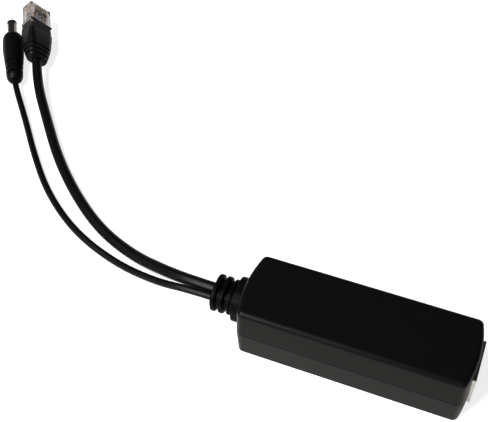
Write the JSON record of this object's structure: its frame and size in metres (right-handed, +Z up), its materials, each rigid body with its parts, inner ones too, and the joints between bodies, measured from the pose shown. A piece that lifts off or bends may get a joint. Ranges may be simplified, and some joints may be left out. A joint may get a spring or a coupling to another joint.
{
  "type": "poe splitter",
  "caption": "Slim plastic case with a shielded network jack in one end and a ribbed strain relief at the other, from which a network cord and a thinner DC power cord lead to their plugs.",
  "frame": {"origin": "centre of the case's flat underside", "axes": "+X along the case towards the network jack, cords leave at -X; +Z up out of the lid; +Y across the case, to the left when looking towards the jack"},
  "size_m": [0.2486, 0.1397, 0.023],
  "materials": {
    "case_plastic": "satin, fine grain",
    "gland_rubber": "satin",
    "board_laminate": "solder mask",
    "shield_steel": "tinned sheet",
    "gilt_contact": "gilt",
    "carrier_plastic": "moulded",
    "jack_plastic": "moulded",
    "package_epoxy": "moulded epoxy",
    "ferrite": "ground ferrite",
    "bobbin_plastic": "moulded",
    "winding_tape": "polyester tape",
    "can_sleeve": "shrunk sleeve",
    "copper_wire": "enamelled copper",
    "suppressor_coating": "dipped coating",
    "wire_insulation": "extruded insulation",
    "cord_jacket": "satin PVC",
    "clear_plastic": "clear polycarbonate",
    "boot_rubber": "soft PVC",
    "grip_plastic": "satin PVC",
    "plated_barrel": "nickel plate",
    "insulator_plastic": "moulded"
  },
  "bodies": {
    "root": {"lower_shell": "case_plastic", "upper_shell": "case_plastic", "cable_gland": "gland_rubber", "circuit_board": "board_laminate", "jack_shield": "shield_steel", "jack_contact_1": "gilt_contact", "jack_contact_2": "gilt_contact", "jack_contact_3": "gilt_contact", "jack_contact_4": "gilt_contact", "jack_contact_5": "gilt_contact", "jack_contact_6": "gilt_contact", "jack_contact_7": "gilt_contact", "jack_contact_8": "gilt_contact", "jack_contact_carrier": "carrier_plastic", "jack_housing": "jack_plastic", "lan_module": "package_epoxy", "bridge_rectifier_1": "package_epoxy", "bridge_rectifier_2": "package_epoxy", "controller_chip": "package_epoxy", "optocoupler": "package_epoxy", "rectifier_diode": "package_epoxy", "transformer_core_lower": "ferrite", "transformer_core_upper": "ferrite", "transformer_bobbin": "bobbin_plastic", "transformer_winding": "winding_tape", "inlet_capacitor": "can_sleeve", "outlet_capacitor_1": "can_sleeve", "outlet_capacitor_2": "can_sleeve", "choke_core": "ferrite", "choke_winding": "copper_wire", "suppressor_disc": "suppressor_coating", "data_wire_1": "wire_insulation", "data_wire_2": "wire_insulation", "data_wire_3": "wire_insulation", "data_wire_4": "wire_insulation", "data_wire_5": "wire_insulation", "data_wire_6": "wire_insulation", "data_wire_7": "wire_insulation", "data_wire_8": "wire_insulation", "dc_wire_1": "wire_insulation", "dc_wire_2": "wire_insulation", "data_cord": "cord_jacket", "dc_cord": "cord_jacket", "plug_body": "clear_plastic", "plug_contact_1": "gilt_contact", "plug_contact_2": "gilt_contact", "plug_contact_3": "gilt_contact", "plug_contact_4": "gilt_contact", "plug_contact_5": "gilt_contact", "plug_contact_6": "gilt_contact", "plug_contact_7": "gilt_contact", "plug_contact_8": "gilt_contact", "plug_wires": "wire_insulation", "plug_cable_end": "cord_jacket", "plug_boot": "boot_rubber", "dc_plug_grip": "grip_plastic", "dc_plug_sleeve": "plated_barrel", "dc_plug_insulator": "insulator_plastic", "dc_plug_pin_socket": "plated_barrel"}
  },
  "joints": []
}
